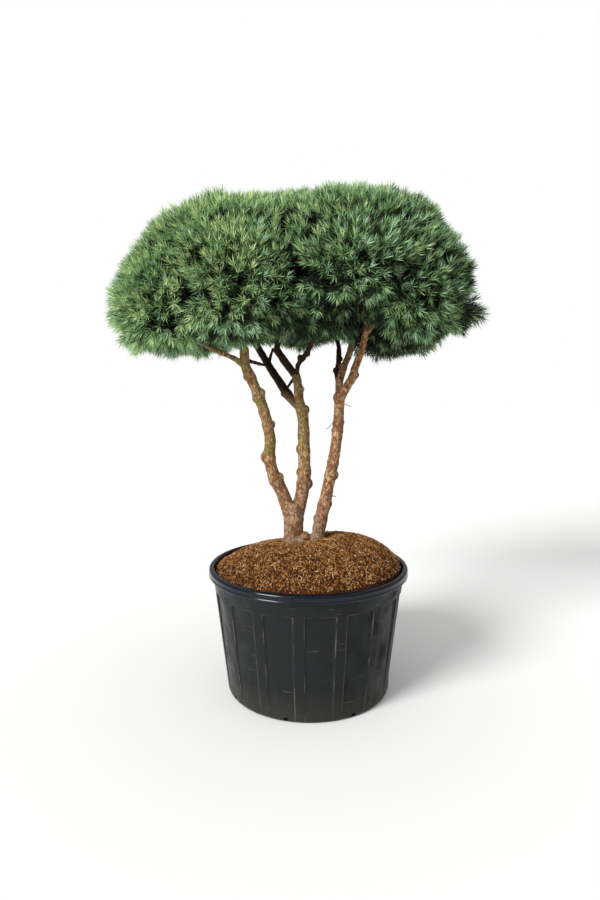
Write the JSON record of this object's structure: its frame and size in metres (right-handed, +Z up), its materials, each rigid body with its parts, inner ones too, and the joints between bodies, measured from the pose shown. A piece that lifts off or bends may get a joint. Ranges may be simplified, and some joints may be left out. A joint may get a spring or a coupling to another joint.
{
  "type": "potted scots pine",
  "caption": "Multi-stem dwarf pine with a wide cushion-shaped crown of blue-green needles, standing in a round ribbed plastic nursery container topped with bark mulch.",
  "frame": {"origin": "centre of the pot's flat underside, on the ground", "axes": "+Z up the stems, -Y towards the side that the picture shows, +X to that view's right"},
  "size_m": [1.7413, 1.319, 2.3796],
  "materials": {
    "pot": "moulded black polypropylene, satin, with dusty scuffs",
    "soil": "moist peat and bark substrate",
    "mulch": "shredded red-brown bark fibres, matt",
    "bark": "flaky orange-tan bark, grey-brown at the foot",
    "bark_shaded": "dark rough bark",
    "foliage": "blue-green pine needles in dense shoots"
  },
  "bodies": {
    "root": {"pot": "pot", "potting_soil": "soil", "bark_mulch": "mulch", "trunk_left": "bark", "trunk_right": "bark", "stem_left": "bark", "stem_centre": "bark", "bough_back": "bark_shaded", "bough_centre_left": "bark_shaded", "bough_centre_right": "bark_shaded", "bough_left_low": "bark", "bough_right_front": "bark", "bough_right_back": "bark", "bough_right_inner": "bark_shaded", "branch_left_top": "bark", "branch_left_side": "bark", "branch_left_front": "bark", "branch_back_left_top": "bark", "branch_middle_top": "bark", "branch_right_side": "bark", "branch_right_front": "bark", "branch_right_low": "bark", "branch_right_tip": "bark", "branch_right_under": "bark", "branch_back_right_low": "bark", "foliage_left_top": "foliage", "foliage_left_side": "foliage", "foliage_left_low": "foliage", "foliage_left_front": "foliage", "foliage_back_left_top": "foliage", "foliage_back_left_low": "foliage", "foliage_middle_top": "foliage", "foliage_middle_low": "foliage", "foliage_back_middle": "foliage", "foliage_right_top": "foliage", "foliage_right_side": "foliage", "foliage_right_front": "foliage", "foliage_right_low": "foliage", "foliage_right_tip": "foliage", "foliage_right_under": "foliage", "foliage_back_right_top": "foliage", "foliage_back_right_low": "foliage"}
  },
  "joints": []
}
